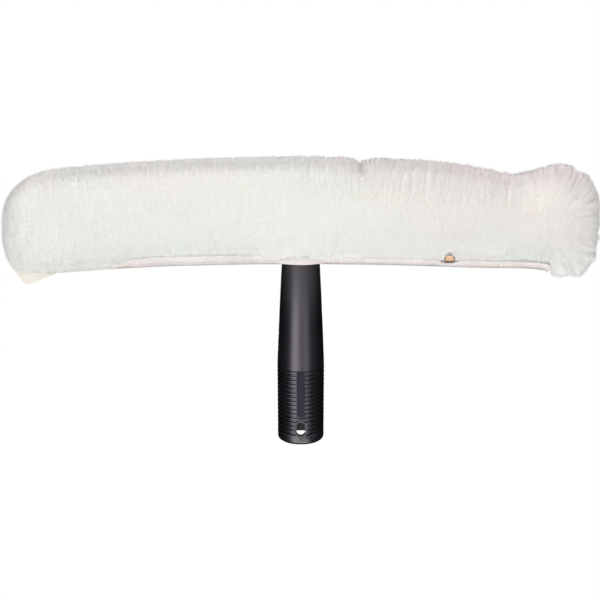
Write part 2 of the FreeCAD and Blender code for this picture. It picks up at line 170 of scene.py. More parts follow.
def clean(piece, merge=0.002, spin_steps=0):
    """Spins a piece that is only an outline, joins points closer than a distance in millimetres and
    turns the faces outward."""
    only(piece)
    bpy.ops.object.mode_set(mode="EDIT")
    bpy.ops.mesh.select_all(action="SELECT")
    if spin_steps:
        bpy.ops.mesh.spin(steps=spin_steps, angle=2 * math.pi, center=(0, 0, 0), axis=(0, 0, 1))
        bpy.ops.mesh.select_all(action="SELECT")
    bpy.ops.mesh.remove_doubles(threshold=merge * MM)
    bpy.ops.mesh.normals_make_consistent(inside=False)
    bpy.ops.object.mode_set(mode="OBJECT")
    return piece


def spun(name, outline, steps):
    """Turns an outline of (radius, height) pairs about the upright axis into a closed skin."""
    points = [(radius, 0, height) for radius, height in outline]
    return clean(mesh_piece(name, points, [], [(i, i + 1) for i in range(len(points) - 1)]), spin_steps=steps)


def modify(piece, kind, **settings):
    """Adds a modifier with its settings and applies it."""
    only(piece)
    modifier = piece.modifiers.new(kind, kind)
    for key, value in settings.items():
        setattr(modifier, key, value)
    bpy.ops.object.modifier_apply(modifier=modifier.name)


def combine(piece, tool, operation):
    """Adds, takes away or keeps the share of another closed piece, which is then removed."""
    modify(piece, "BOOLEAN", operation=operation, solver="EXACT", object=tool)
    bpy.data.objects.remove(tool)


def box(half, low, high):
    """The corners of a rectangle, anticlockwise from the lower left."""
    return [(-half, low), (half, low), (half, high), (-half, high)]


def prism(name, outline, low, high):
    """A bar along Y whose section is an outline of (x, z) pairs that runs anticlockwise from the front."""
    count = len(outline)
    points = [(x, low, z) for x, z in outline] + [(x, high, z) for x, z in outline]
    faces = [list(range(count)), list(range(2 * count - 1, count - 1, -1))]
    faces += [[i, i + count, (i + 1) % count + count, (i + 1) % count] for i in range(count)]
    return clean(mesh_piece(name, points, faces))


def grip_radius_at(height):
    return end_radius + (grip_radius - end_radius) * (height - end_round) / (grip_height - end_round)


outline = [(0, bore_depth), (bore_tip_radius, bore_depth), (bore_radius - bore_ledge, bore_straight),
           (bore_radius, bore_straight), (bore_radius, mouth_bevel), (bore_radius + mouth_bevel, 0)]
outline += [(end_radius - end_round + end_round * math.sin(a), end_round - end_round * math.cos(a))
            for a in np.linspace(0, math.pi / 2, 7)]
outline += [(grip_radius_at(rib_start), rib_start - 0.9), (grip_radius_at(rib_start) - 0.1, rib_start - 0.7)]
for rib in range(rib_count):
    for share, dip in rib_profile:
        height = rib_start + (rib + share) * rib_pitch
        outline.append((grip_radius_at(height) - dip * groove_depth, height))
outline += [(grip_radius - groove_depth, grip_height - 0.95), (grip_radius - groove_depth, grip_height - 0.2)]
shaft = {grip_height: grip_radius, swell_height: swell_radius, handle_reach: neck_radius}
for height in np.linspace(grip_height, handle_reach, 26):
    radius = 0
    for own, own_radius in shaft.items():
        others = [other for other in shaft if other != own]
        radius += own_radius * (math.prod(height - other for other in others)
                                / math.prod(own - other for other in others))
    outline.append((radius, height))
outline += [(neck_radius - fork_round + fork_round * math.cos(a), fork_top - fork_round + fork_round * math.sin(a))
            for a in np.linspace(0, math.pi / 2, 6)]
outline += [(0, fork_top)]
handle = spun("handle_moulding", outline, 144)

panel_half, panel_low, panel_root, panel_reach = 3.2, 24.0, 16.6, 18.45
slot_half_width, slot_half_run, slot_middle, slot_land = 3.3, 2.2, 13.7, 1.7
fork_gap, seat_gap, wide, roof = 6.2, 0.1, 40, 260


def slot_outline(margin):
    radius = slot_half_width + margin
    return [(way * radius * math.cos(a), slot_middle + way * (slot_half_run + radius * math.sin(a)))
            for way in (1, -1) for a in np.linspace(0, math.pi, 17)]


for side in (-1, 1):
    for strip in (box(panel_half, panel_low, grip_height), slot_outline(slot_land)):
        combine(handle, prism("plain_strip", strip, *sorted((side * panel_root, side * panel_reach))), "UNION")
combine(handle, prism("hang_slot", slot_outline(0), -wide, wide), "DIFFERENCE")
combine(handle, prism("bar_room", box(wide, handle_reach - seat_gap, roof), -fork_gap, fork_gap), "DIFFERENCE")
smooth(handle, 30)


def start_material(name):
    """A new material, its tree, its shader and the object's coordinates."""
    material = bpy.data.materials.new(name)
    material.use_nodes = True
    tree = material.node_tree
    return material, tree, tree.nodes["Principled BSDF"], add_node(tree, "ShaderNodeTexCoord").outputs["Object"]


def colour_ends(material, low, high):
    """Sets the two ends of a material's range of colours."""
    for node in material.node_tree.nodes:
        if node.type == "VALTORGB":
            node.color_ramp.elements[0].color, node.color_ramp.elements[1].color = hex_colour(low), hex_colour(high)


def noise(tree, place, size, detail):
    """Cloudy noise with a grain of a size in millimetres."""
    return add_node(tree, "ShaderNodeTexNoise", inputs={"Scale": 1 / (size * MM), "Detail": detail},
                    links={"Vector": place}).outputs["Fac"]


def tones(material, source, low, high):
    """A range of colours that follows a noise."""
    ramp = add_node(material.node_tree, "ShaderNodeValToRGB", links={"Fac": source})
    colour_ends(material, low, high)
    return ramp


def gloss_range(tree, source, low, high):
    """A roughness that follows a noise."""
    return add_node(tree, "ShaderNodeMapRange", {"name": "gloss"}, {"To Min": low, "To Max": high},
                    {"Value": source}).outputs["Result"]


def relief(tree, source, strength, depth):
    """A bumpy surface that follows a pattern, with its depth in millimetres."""
    return add_node(tree, "ShaderNodeBump", inputs={"Strength": strength, "Distance": depth * MM},
                    links={"Height": source}).outputs["Normal"]


# Moulded polypropylene: near black, with a fine spark-eroded grain that spreads its highlights, and
# duller towards the neck, which no hand rubs.
plastic, tree, shader, place = start_material("moulded_black_polypropylene")
grain, handling = noise(tree, place, 0.5, 3.0), noise(tree, place, 22, 4.0)
tone = tones(plastic, handling, "#060609", "#0D0D11")
gloss = gloss_range(tree, handling, 0.31, 0.38)
height = add_node(tree, "ShaderNodeSeparateXYZ", links={"Vector": place}).outputs["Z"]
unworn = add_node(tree, "ShaderNodeMapRange", inputs={"From Min": 105 * MM, "From Max": 150 * MM, "To Max": 0.22},
                  links={"Value": height})
gloss = add_node(tree, "ShaderNodeMath", links={0: gloss, 1: unworn.outputs["Result"]})
plug(tree, shader, {"IOR": 1.64, "Specular Tint": hex_colour("#ECE4EE")},
     {"Base Color": tone.outputs["Color"], "Roughness": gloss.outputs["Value"],
      "Normal": relief(tree, grain, 0.05, 0.05)})
handle.data.materials.append(plastic)
# The front panel is polished and shines blue. The back panel, the bore and the walls of the ribs are
# left rough from the mould and stay dark.
for name, low, high, cast, ior in (("polished_black_polypropylene", 0.24, 0.30, "#C9CEE8", 1.54),
                                   ("eroded_black_polypropylene", 0.58, 0.66, "#ECE4EE", 1.34)):
    finish = plastic.copy()
    finish.name = name
    tree = finish.node_tree
    plug(tree, tree.nodes["gloss"], {"To Min": low, "To Max": high})
    plug(tree, tree.nodes["Principled BSDF"], {"Specular Tint": hex_colour(cast), "IOR": ior})
    handle.data.materials.append(finish)
touch, wall_slope = 0.05, 0.4
for face in handle.data.polygons:
    middle = face.center / MM
    in_bore = (middle.x * face.normal.x + middle.y * face.normal.y < 0 and middle.z < bore_depth
               and math.hypot(middle.x, middle.y) < bore_radius + 0.1)
    on_wall = rib_start - 1 < middle.z < grip_height + 0.2 and abs(face.normal.z) > wall_slope
    if abs(middle.y + panel_reach) < touch and panel_low - 1 < middle.z < grip_height:
        face.material_index = 1
    elif abs(middle.y - panel_reach) < touch or in_bore or on_wall:
        face.material_index = 2
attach(handle, "scrubber")
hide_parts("handle")


def dress(material, *nodes):
    """Gives a material to pieces that are shown as they come from the CAD."""
    for node in nodes:
        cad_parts[node].data.materials.clear()
        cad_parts[node].data.materials.append(material)


# Crossbar: an arched bar of the same black plastic, cored out on both sides, inside the sleeve.
dress(plastic, "crossbar")

# Rivets and washers: drawn aluminium, bright with fine streaks, headed over through the fork and the bar.
aluminium, tree, shader, place = start_material("drawn_aluminium")
streaks = noise(tree, place, 0.8, 2.0)
tone = tones(aluminium, streaks, "#B9BBBE", "#DADBDD")
plug(tree, shader, {"Metallic": 1.0},
     {"Base Color": tone.outputs["Color"], "Roughness": gloss_range(tree, streaks, 0.25, 0.45)})
dress(aluminium, "fork_rivets", "rivet_washers")

# Sleeve: a tube of knitted backing with upright pile, sewn to fit the arched bar. This is its thick
# inner body, below the tips of the pile, cut out for the bar, the handle's neck and the slit.
bow_radius, head_height = 1850.0, 185.0
pile_above = pile_below = 41.5
half_thickness, half_length = 22.0, 228.5
hem_radius = 3000.0
left_round, left_power = 46.0, 2.85
low_round, low_power = 23.0, 3.0
left_sag = 1.8
section_power = 2.55
# Shares of half the length, then of the reach above and below the bar and of the thickness there
right_rows = np.array((
    (0.0, 1.0, 1.0, 1.0), (0.33, 0.985, 1.0, 1.0), (0.465, 0.965, 1.0, 0.985),
    (0.595, 0.9, 0.995, 0.96), (0.663, 0.845, 0.985, 0.93), (0.72, 0.88, 0.97, 0.92),
    (0.765, 0.975, 0.96, 0.97), (0.815, 1.07, 0.965, 1.05), (0.84, 1.115, 0.985, 1.075),
    (0.858, 1.145, 1.075, 1.09), (0.876, 1.15, 1.14, 1.1), (0.893, 1.125, 1.12, 1.095),
    (0.906, 1.095, 1.095, 1.09), (0.921, 1.07, 1.115, 1.07), (0.938, 1.05, 1.115, 1.045),
    (0.955, 1.01, 1.065, 0.995), (0.972, 0.93, 0.97, 0.91), (0.986, 0.78, 0.83, 0.77),
    (0.996, 0.5, 0.56, 0.5), (1.0, 0.06, 0.06, 0.08),
))
left_lean, right_lean = 0.13, 0.11
body_inset, end_inset = 3.8, 5.6
end_seam = 166.0


def on_arc(station, across, rise, radius, height):
    """Places beside an arc over the handle, from arrays of stations, distances across and rises."""
    angle, reach = station / radius, radius + rise
    return np.stack([reach * np.sin(angle), across + 0 * reach, height - radius + reach * np.cos(angle)], -1)


def on_bow(station, across, rise):
    return on_arc(station, across, rise, bow_radius, head_height)


def smooth_through(x, xs, ys):
    """A smooth curve through a table of points."""
    slopes = np.gradient(ys, xs)
    i = np.clip(np.searchsorted(xs, x) - 1, 0, len(xs) - 2)
    run = xs[i + 1] - xs[i]
    t = (x - xs[i]) / run
    return ((2 * t**3 - 3 * t**2 + 1) * ys[i] + (t**3 - 2 * t**2 + t) * run * slopes[i]
            + (3 * t**2 - 2 * t**3) * ys[i + 1] + (t**3 - t**2) * run * slopes[i + 1])


def fade(x, low, high):
    """A smooth step from 0 to 1."""
    t = np.clip((x - low) / (high - low), 0, 1)
    return t * t * (3 - 2 * t)


def section_sizes(station):
    """Reach above and below the bar and half the thickness of the sleeve at each station."""
    swell, low_swell = (
        np.maximum(1 - np.clip((-half_length + run - station) / run, 0, 1) ** power, 0.0004) ** (1 / power)
        for run, power in ((left_round, left_power), (low_round, low_power)))
    share = np.clip(station / half_length, 0, 1)
    above, below, thick = (smooth_through(share, right_rows[:, 0], right_rows[:, k]) for k in (1, 2, 3))
    hem = (pile_below - station**2 / (2 * bow_radius) + station**2 / (2 * hem_radius)
           + left_sag * fade(-station, 110, 190))
    return pile_above * above * swell, hem * below * low_swell, half_thickness * thick * swell


# The point that the folds run out from, their turns in degrees and their depths, and the parting
gather_x, gather_z = 184.0, 178.0
fold_turns = np.radians((-121, -96, -77, -60, -43, -33, -24, -14, -4, 9, 24, 40, 54, 70, 86, 101, 118, 134))
fold_depths = np.array((0.6, 1.0, 0.7, 2.6, 1.3, 1.6, 1.7, 1.5, 1.2, 0.9, 1.0, 1.2, 1.1, 1.3, 1.2, 1.4, 1.0, 0.6))
fold_width = 0.055
notch_x, notch_width, notch_depth = 45.0, 4.0, 4.8


def furrows(points):
    """Depth of the folds at the gathered end and of the parting in the pile on top."""
    x, z = points[..., 0], points[..., 2]
    turn = np.arctan2(z - gather_z, x - gather_x)
    reach = np.hypot(x - gather_x, z - gather_z)
    depth = 0 * x
    for angle, deep in zip(fold_turns, fold_depths):
        away = np.angle(np.exp(1j * (turn - angle)))
        depth = depth + deep * np.exp(-(away / fold_width) ** 2)
    depth = depth * fade(reach, 16, 36) * fade(x, 164, 190)
    return depth + notch_depth * np.exp(-np.abs(x - notch_x) / notch_width) * fade(z, 213, 220)


hinge_across, hinge_rise, lip_slant = -22.4, -14.0, math.radians(41)


def lip_slope(distance, gap):
    """Across and rise of a point on the slanting face of the slit, moved out by a gap."""
    return (hinge_across + distance * math.sin(lip_slant) - gap * math.cos(lip_slant),
            hinge_rise - distance * math.cos(lip_slant) - gap * math.sin(lip_slant))


snap_station, snap_middle, snap_height = 115.0, 18.25, 7.0
snap_lift, snap_patch = 0.70, 5.8
snap_across, snap_rise = lip_slope(snap_middle, snap_height)


def pile_depth(station, across, rise):
    """Depth of the backing below the tips of the pile: more at the gathered end, little at the snap."""
    from_snap = np.sqrt((station - snap_station)**2 + (across - snap_across)**2 + (rise - snap_rise)**2)
    depth = body_inset + (end_inset - body_inset) * fade(station, 60, 190)
    return depth * (1 - snap_lift * np.exp(-(from_snap / snap_patch) ** 4))


def body_skin(stations, turns):
    """Points, normals and directions of the backing's surface, and its depth below the tips."""
    station, turn = np.meshgrid(stations, turns, indexing="ij")
    above, below, thick = section_sizes(station)
    power = section_power + 1.5 * np.exp(-(station / 30) ** 4) * (np.sin(turn) < 0)
    round_across = np.sign(np.cos(turn)) * np.abs(np.cos(turn)) ** (2 / power)
    round_rise = np.sign(np.sin(turn)) * np.abs(np.sin(turn)) ** (2 / power)
    middle, half = (above - below) / 2, (above + below) / 2
    depth = pile_depth(station, round_across * thick, middle + round_rise * half)
    shrink = np.minimum(depth, thick * 0.6)
    inner = station - np.sign(station) * depth * fade(np.abs(station), half_length - 45, half_length)
    points = on_bow(inner, round_across * (thick - shrink), middle + round_rise * np.maximum(half - shrink, 0.05))
    points[..., 0] += (left_lean * fade(-station, 150, 205) - right_lean * fade(station, 170, 215)) * (
        points[..., 2] - head_height + station**2 / (2 * bow_radius))

    def directions():
        along = np.gradient(points, axis=0)
        around = (np.roll(points, -1, 1) - np.roll(points, 1, 1)) / 2
        normals = np.cross(around, along)
        return along, around, normals / np.maximum(np.linalg.norm(normals, axis=-1, keepdims=True), 1e-9)
    points = points - directions()[2] * furrows(points)[..., None]
    return (points, *directions(), depth)


def tube_piece(name, points):
    """A closed skin over a grid of points, with its two ends fanned shut."""
    rows, turns = points.shape[:2]
    flat = points.reshape(-1, 3)
    faces = [(i + j, i + (j + 1) % turns, i + turns + (j + 1) % turns, i + turns + j)
             for i in range(0, (rows - 1) * turns, turns) for j in range(turns)]
    first, last = len(flat), len(flat) + 1
    flat = np.vstack([flat, points[0].mean(0), points[-1].mean(0)])
    faces += [(first, (j + 1) % turns, j) for j in range(turns)]
    faces += [(last, (rows - 1) * turns + j, (rows - 1) * turns + (j + 1) % turns) for j in range(turns)]
    return clean(mesh_piece(name, flat, faces), 0.02)


def bow_bar(name, outline, start, end, steps=40):
    """A bar along the arched bar whose section is a closed outline of (across, rise) pairs."""
    stations = np.linspace(start, end, steps)
    outline = np.array(outline, float)
    grid = np.stack([on_bow(np.full(len(outline), s), outline[:, 0], outline[:, 1]) for s in stations])
    return tube_piece(name, grid)


end_rows = np.concatenate([
    -half_length + left_round * (1 - np.cos(np.linspace(0, math.pi / 2, 34))),
    np.linspace(-181.5, 160, 190), np.linspace(161, 222, 84),
    half_length - 6.5 * (1 - np.sin(np.linspace(0.02, math.pi / 2, 18)))])
body_turns = np.linspace(-math.pi, math.pi, 129)[:-1]
skin_points, skin_along, skin_around, skin_normals, skin_depth = body_skin(end_rows, body_turns)

bar_half, bar_half_height, bar_half_thick, liner = 206.0, 24.0, 6.0, 0.4
room_half, room_rise, room_across = bar_half + liner, bar_half_height + liner, bar_half_thick + liner


def hollow_out(piece):
    """Takes the room for the bar out of a piece of the sleeve."""
    combine(piece, bow_bar("bar_room", box(room_across, -room_rise, room_rise), -room_half, room_half), "DIFFERENCE")


sleeve = tube_piece("sleeve_backing", skin_points)
right_of_seam, past_end = box(70, -90, 90), end_seam + 120
combine(sleeve, bow_bar("end_side", right_of_seam, end_seam, past_end), "DIFFERENCE")
hollow_out(sleeve)
neck_room, fork_room, below_neck = 15.3, 14.1, 100
outline = [(0, below_neck), (neck_room, below_neck), (neck_room, handle_reach), (fork_room, handle_reach),
           (fork_room, fork_top + liner), (0, fork_top + liner)]
combine(sleeve, spun("neck_room", outline, 64), "DIFFERENCE")
flap_start, flap_end, lip_back = 26.0, 158.0, 8.0
far_front, far_below = -80, -90
combine(sleeve, bow_bar("slit_room", [(far_front, hinge_rise), (0, hinge_rise), (0, -bar_half_height),
                                      (lip_back, -bar_half_height), (lip_back, far_below), (far_front, far_below)],
                        flap_start, flap_end), "DIFFERENCE")

# Knitted polyester backing: cream, with the courses of the knit and the roots of the pile.
backing, tree, shader, place = start_material("knitted_polyester_backing")
knit = noise(tree, place, 1.4, 4.0)
tone = tones(backing, knit, "#BAB7B1", "#CDCAC4")
plug(tree, shader, {"Roughness": 0.95, "Sheen Weight": 0.3},
     {"Base Color": tone.outputs["Color"], "Normal": relief(tree, knit, 0.6, 0.6)})
smooth(sleeve, 45)
sleeve.data.materials.append(backing)
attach(sleeve, "scrubber")
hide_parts("pile_sleeve")

# End panel: the last hand's width of the sleeve, sewn on at a waist and gathered at the corner, so
# that it bulges and hangs in two lobes.
seam_gap = 0.05
end_panel = tube_piece("end_panel_backing", skin_points)
combine(end_panel, bow_bar("end_side", right_of_seam, end_seam + seam_gap, past_end), "INTERSECT")
hollow_out(end_panel)
smooth(end_panel, 45)
end_panel.data.materials.append(backing)
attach(end_panel, "scrubber")
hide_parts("end_panel")

# Stud lip: the doubled inner edge of the slit, a soft roll along the bar that carries the stud.
flap_gap, slant_near, slant_far, lip_floor, lip_round = 0.4, 13.0, 23.5, 33.0, 1.6


def lip_face(gap):
    """Across and rise of the lip's outer face, moved out by a gap."""
    front = hinge_across + slant_near * math.sin(lip_slant) - gap
    near = lip_slope((front - hinge_across + gap * math.cos(lip_slant)) / math.sin(lip_slant), gap)
    return [(front, hinge_rise), near, lip_slope(slant_far, gap), (lip_back, -lip_floor - gap)]


lip = bow_bar("stud_lip_roll", lip_face(0) + [(lip_back, -room_rise), (-room_across, -room_rise),
                                              (-room_across, hinge_rise)], flap_start, flap_end)
modify(lip, "BEVEL", width=lip_round * MM, segments=3, limit_method="ANGLE")
smooth(lip, 40)
lip.data.materials.append(backing)
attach(lip, "scrubber")
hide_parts("stud_lip")

# Closing flap: the outer edge of the slit. It hangs from the front of the sleeve, laps over the lip
# and is pressed shut by the snap.
flap_edge, edge_gap, lining, fold_rows = -1.0, 0.08, 0.9, 14
fold_top = hinge_rise - edge_gap


def flap_face(gap):
    """The flap's face at a gap from the lip: its upright fold in rows, its lower corner and its edge."""
    front, near, low, back = lip_face(gap)
    edge_rise = low[1] + (flap_edge - low[0]) / (back[0] - low[0]) * (back[1] - low[1])
    return [(front[0], rise) for rise in np.linspace(fold_top, near[1], fold_rows)], low, (flap_edge, edge_rise)


flap = tube_piece("closing_flap_backing", skin_points)
fold, low, edge = flap_face(flap_gap)
outer_fold, outer_low, outer_edge = flap_face(flap_gap + lining)
for name, rest, operation in (
        ("flap_room", [(flap_edge, far_below), (far_front, far_below), (far_front, fold_top)], "INTERSECT"),
        ("flap_lining", [outer_edge, outer_low] + outer_fold[::-1], "UNION")):
    combine(flap, bow_bar(name, fold + [low, edge] + rest, flap_start + edge_gap, flap_end - edge_gap), operation)
smooth(flap, 45)
flap.data.materials.append(backing)
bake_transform(flap)
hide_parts("closing_flap")

# Binding tape: narrow woven tape folded round the raw lower edge, on the sewn left half and on the
# flap, held by one row of lockstitch. A ring of it binds the hole for the handle.
tape_back, tape_drop, tape_thickness = -1.0, 0.8, 1.7
left_tape_top, flap_tape_top = 10.6, 8.0
snap_dip, dip_width, run_out, sink = 2.9, 6.5, 0.30, 3.0
# Heights up the tape's face as shares, and how far it rolls inwards at each
tape_shares = np.array((0, 0.067, 0.187, 0.36, 0.56, 0.8, 1.0))
tape_roll = np.array((0, 0, 0, 0, 0.1, 0.7, 1.6))
stitch_pitch, stitch_length, stitch_radius, stitch_drop, first_stitch = 3.4, 2.5, 0.26, 5.2, -128
painted_shade_slope = -0.82


def hem_face(station, height):
    """Distance across of the sleeve's outer face at a height above the hem, on the front."""
    above, below, thick = section_sizes(station)
    return -thick * (1 - (1 - 2 * height / (above + below)) ** section_power) ** (1 / section_power)


def tape_reach(station, top):
    """Height of the tape's upper edge: it runs out towards the left corner and dips under the snap."""
    dip = snap_dip * np.exp(-((station - snap_station) / dip_width) ** 4)
    return (top - dip) * (run_out + (1 - run_out) * fade(station, -165, -118))


# Woven polyester tape: a dull off-white twill of 0.7 mm threads, uneven from washing. A greyer copy on
# the faces that turn downward is painted shade.
tape_cloth, tree, shader, place = start_material("woven_polyester_tape")
twill = add_node(tree, "ShaderNodeTexWave", {"bands_direction": "DIAGONAL"},
                 {"Scale": 1 / (20 * 0.7 * MM), "Distortion": 1.2, "Detail": 2.0}, {"Vector": place})
tone = tones(tape_cloth, noise(tree, place, 16, 3.0), "#B4ADAA", "#BEB8B5")
tone.color_ramp.elements[0].position, tone.color_ramp.elements[1].position = 0.35, 0.65
plug(tree, shader, {"Roughness": 0.9, "Sheen Weight": 0.2},
     {"Base Color": tone.outputs["Color"], "Normal": relief(tree, twill.outputs["Fac"], 0.35, 0.2)})
# A greyer copy of the tape: painted shade for its downward faces.
painted_shade_tape = tape_cloth.copy()
painted_shade_tape.name = "polyester_tape_painted_shade"
colour_ends(painted_shade_tape, "#948F8B", "#A29D99")


def join(piece, other):
    """Makes another piece part of a piece."""
    only(piece)
    other.select_set(True)
    bpy.ops.object.join()


def on_hem_face(station, across, height):
    """Places at heights above the sleeve's lowest line."""
    return on_bow(station, across, height - section_sizes(station)[1])


def ripple(station):
    """Slight waves of a tape that is sewn on."""
    return 0.10 * math.sin(station / 3.1) + 0.08 * math.sin(station / 7.7 + 1)


def tape_piece(name, start, end, full_top):
    """A tape round the hem with its row of stitches, each a flattened bead of thread."""
    rows = []
    for station in np.linspace(start, end, int((end - start) / 2.2)):
        top = tape_reach(station, full_top)
        up = tape_drop + (top - 0.6 - tape_drop) * tape_shares
        front = hem_face(station + 0 * up, up) - 0.1 + ripple(station) + tape_roll
        front = front + sink * (1 - fade(station, -162, -125))
        inner = np.minimum(front + tape_thickness, tape_back - 0.3)
        across = np.concatenate([[tape_back], front, [front[-1] + 0.5], inner[::-1], [tape_back]])
        rise = np.concatenate([[tape_drop + 0.3], up, [top], up[::-1] + 0.2 + 1.6 * (1 - up[::-1] / top),
                               [tape_drop + 2.1]])
        rows.append(on_hem_face(np.full(len(across), station), across, rise))
    piece = tube_piece(name, np.stack(rows))
    turns = np.linspace(0, 2 * math.pi, 7)[:-1]
    for station in np.arange(max(start, first_stitch) + 3, end - 3, stitch_pitch):
        height = tape_reach(station, full_top) - stitch_drop
        rings = []
        for along in np.linspace(-0.5, 0.5, 5):
            width = stitch_radius * math.sqrt(max(1 - (2 * along) ** 2, 0.1))
            spot = station + along * stitch_length + 0 * turns
            rings.append(on_hem_face(spot, hem_face(spot, height) - 0.15 + ripple(station) + width * np.cos(turns),
                                     height + width * np.sin(turns)))
        join(piece, tube_piece("stitch", np.stack(rings)))
    smooth(piece, 40)
    piece.data.materials.append(tape_cloth)
    piece.data.materials.append(painted_shade_tape)
    # Faces that turn downward take the greyer copy of the tape, which is painted shade.
    for face in piece.data.polygons:
        face.material_index = int(face.normal.z < painted_shade_slope)
    return piece


left_tape = tape_piece("left_hem_tape", -200.0, -15.6, left_tape_top)
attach(left_tape, "scrubber")
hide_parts("left_seam_tape")
flap_hem = tape_piece("flap_hem_tape", 24.4, 153.3, flap_tape_top)
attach(flap_hem, "flap")
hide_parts("flap_tape")
end_hem = tape_piece("end_hem_tape", 153.6, 193.0, flap_tape_top)
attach(end_hem, "scrubber")

ring_inner, ring_outer, ring_half, ring_low, ring_high = 15.25, 18.4, 29.0, 146.5, 149.4
ring_section = [(ring_inner, ring_low + 0.6), (ring_inner + 0.7, ring_low), (ring_outer - 0.8, ring_low),
                (ring_outer - 0.2, ring_low + 0.2), (ring_outer, ring_low + 0.8), (ring_outer - 0.2, ring_high - 0.2),
                (ring_outer - 0.7, ring_high + 1.4), (ring_outer - 1.7, ring_high + 3.0), (ring_inner, ring_high + 3.2)]
neck_ring = spun("neck_binding", ring_section + ring_section[:1], 96)
for vertex in neck_ring.data.vertices:
    radius = math.hypot(vertex.co.x, vertex.co.y)
    spread = max(radius / MM - ring_inner, 0) / (ring_outer - ring_inner)
    vertex.co.x *= 1 + spread * (ring_half / ring_outer - 1) * abs(vertex.co.x / radius)
smooth(neck_ring, 45)
neck_ring.data.materials.append(tape_cloth)
join(neck_ring, tape_piece("tape_bridge", 15.6, 24.1, flap_tape_top))
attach(neck_ring, "scrubber")
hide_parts("neck_tape")

# Corner ear: the folded corner where the end seam and the hem meet, a soft point of doubled cloth.
# Each row holds a station, then the ear's lowest and highest places there above the hem
ear_rows = ((-222.0, 10.0, 16.0), (-220.0, 5.5, 16.0), (-217.2, 0.2, 16.0), (-214.6, -4.4, 16.0),
            (-211.8, -6.8, 15.5), (-208.4, -6.5, 15.0), (-203.4, -4.9, 14.0), (-197.5, -3.0, 13.0),
            (-191.0, -1.0, 12.0), (-185.0, 1.4, 10.0))
ear_middle, ear_half, ear_thick, ear_across = -204, 19.5, 4.6, -4.5
hem_height = head_height - pile_below
turns = np.linspace(0, 2 * math.pi, 21)[:-1]
rings = []
for station, low, high in ear_rows:
    middle, half = (low + high) / 2, max((high - low) / 2, 0.3)
    swell = 1 - abs((station - ear_middle) / ear_half) ** 3
    thick = ear_thick * max(swell, 0.12) ** 0.5
    rings.append(on_arc(station + 0 * turns, ear_across + thick * np.cos(turns) * (0.55 + 0.45 * np.sin(turns)),
                        middle + half * np.sin(turns) - left_sag * fade(-station, 110, 190), hem_radius, hem_height))
ear = tube_piece("corner_ear_cloth", np.stack(rings))
modify(ear, "SUBSURF", levels=2, render_levels=2)
bpy.ops.object.shade_smooth()
# Doubled backing cloth: the bare knit, warmer than the pile.
ear_cloth = backing.copy()
ear_cloth.name = "doubled_backing_cloth"
colour_ends(ear_cloth, "#B5B0A7", "#C4BFB6")
ear.data.materials.append(ear_cloth)
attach(ear, "scrubber")
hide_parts("corner_ear")

# Snap fastener: a pressed brass cap on the flap, joined through the cloth to a socket that clips on
# the stud of the lip.
barrel_radius, cap_radius, cap_crown, cap_sink, cap_edge = 1.2, 4.3, 0.45, 0.9, 0.2
socket_height, dome_radius = 2.3, 2.3
# How far the cap's painted light is shifted towards the top, and how wide it is, as shares of the cap's radius
painted_light_shift, painted_light_radius = 0.28, 0.74
snap_angle = snap_station / bow_radius
snap_axis = Vector((-math.sin(lip_slant) * math.sin(snap_angle), -math.cos(lip_slant),
                    -math.sin(lip_slant) * math.cos(snap_angle)))
snap_foot = Vector(on_bow(snap_station, *(np.array(c) for c in lip_slope(snap_middle, 0)))) * MM
cap_heights, socket_heights = (
    [(v.co - snap_foot).dot(snap_axis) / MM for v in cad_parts[node].data.vertices]
    for node in ("snap_cap", "snap_socket"))
cap_top, socket_foot = max(cap_heights) - cap_sink, min(socket_heights)
cap_seat, socket_top = cap_top - cap_crown, socket_foot + socket_height
outline = [(0, socket_top), (barrel_radius, socket_top), (barrel_radius, cap_seat - cap_edge),
           (cap_radius - cap_edge, cap_seat - cap_edge), (cap_radius, cap_seat - 0.05)]
outline += [(cap_radius * s, cap_seat + cap_crown * math.sqrt(1 - s**4))
            for s in np.cos(np.linspace(0.1, math.pi / 2, 16))]
outline[-1] = (0, cap_top)
cap = spun("snap_cap_pressing", outline, 48)
outline = [(0, 2.0), (2.05, 2.0), (2.05, 0), (4.4, 0), (4.5, 0.1), (4.5, 0.6), (4.3, 0.8),
           (dome_radius + 0.2, 0.8), (dome_radius, 1.0), (dome_radius, socket_height - 0.2),
           (dome_radius - 0.2, socket_height), (0, socket_height)]
socket = spun("snap_socket_pressing", [(radius, socket_foot + height) for radius, height in outline], 48)
for metal_part in (socket, cap):
    metal_part.data.transform(snap_axis.to_track_quat("Z", "Y").to_matrix().to_4x4())
    metal_part.data.transform(Matrix.Translation(snap_foot))
    smooth(metal_part, 40)

# Pressed brass with a coppery lacquer, warm and bright. On the cap a pale, dull crown set towards the top
# is painted light, and the cap's lower rim and the socket are painted shade in dark brown.
brass, tree, shader, place = start_material("lacquered_brass")
tarnish = noise(tree, place, 2.0, 4.0)
tone = tones(brass, tarnish, "#E6B68C", "#F6D3B4")
plug(tree, shader, {"Metallic": 0.92},
     {"Base Color": tone.outputs["Color"], "Roughness": gloss_range(tree, tarnish, 0.30, 0.38)})
for name, low, high, metal in (("brass_crown_painted_light", "#D6AA86", "#E6C0A0", 0.30),
                               ("brass_painted_shade", "#4E3826", "#5E4630", 0.40)):
    finish = brass.copy()
    finish.name = name
    finish.node_tree.nodes["Principled BSDF"].inputs["Metallic"].default_value = metal
    colour_ends(finish, low, high)
    cap.data.materials.append(finish)
# The crown, set off towards the top of the cap, takes the pale painted light, and the rest of the cap the dark brown
# painted shade.
cap_up = (Vector((0, 0, 1)) - snap_axis.z * snap_axis).normalized()
for face in cap.data.polygons:
    across = face.center - snap_foot
    across = across - across.dot(snap_axis) * snap_axis - painted_light_shift * cap_radius * MM * cap_up
    face.material_index = int(across.length > painted_light_radius * cap_radius * MM)
# The socket takes the dark brown painted shade as well.
socket.data.materials.append(finish)
for metal_part, node in ((cap, "snap_cap"), (socket, "snap_socket")):
    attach(metal_part, "flap")
    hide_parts(node)
dress(brass, "snap_stud", "snap_post")

